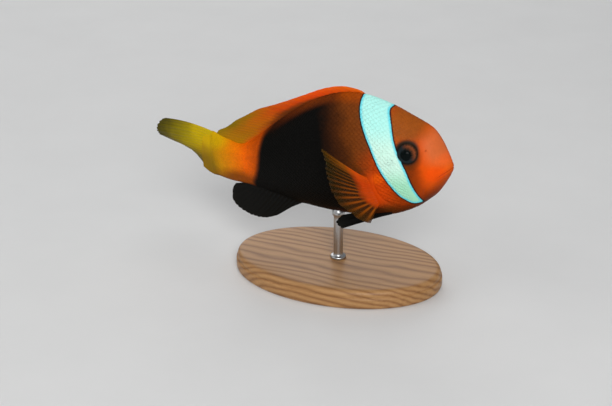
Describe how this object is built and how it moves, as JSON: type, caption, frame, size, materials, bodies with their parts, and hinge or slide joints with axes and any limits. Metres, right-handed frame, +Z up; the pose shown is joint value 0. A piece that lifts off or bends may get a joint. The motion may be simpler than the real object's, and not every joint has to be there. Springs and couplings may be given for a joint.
{
  "type": "red and black anemonefish display model",
  "caption": "Life-size still model of a red-and-black anemonefish with fins half spread and its tail curved to the left, held on a short steel rod over an oval wooden base.",
  "frame": {"origin": "centre of the underside of the stand's base", "axes": "+X towards the fish's snout, +Y to its left, +Z up from the base through the back"},
  "size_m": [0.1035, 0.046, 0.0638],
  "materials": {
    "orange_skin": "satin scaled skin",
    "dark_skin": "satin scaled skin",
    "yellow_skin": "satin scaled skin",
    "orange_fin": "thin ribbed fin",
    "yellow_fin": "thin ribbed fin",
    "dark_fin": "thin ribbed fin",
    "eye": "polished, domed",
    "base_wood": "oiled, satin",
    "rod_steel": "brushed"
  },
  "bodies": {
    "root": {"head": "orange_skin", "lower_jaw": "orange_skin", "gill_cover_right": "orange_skin", "gill_cover_left": "orange_skin", "trunk": "dark_skin", "tail_stalk": "yellow_skin", "tail_fin": "yellow_fin", "dorsal_fin_spines": "orange_fin", "dorsal_fin_soft": "yellow_fin", "anal_fin": "dark_fin", "pectoral_fin_right": "orange_fin", "pectoral_fin_left": "orange_fin", "pelvic_fin_right": "dark_fin", "pelvic_fin_left": "dark_fin", "eye_right": "eye", "eye_left": "eye", "stand_base": "base_wood", "stand_rod": "rod_steel"}
  },
  "joints": []
}
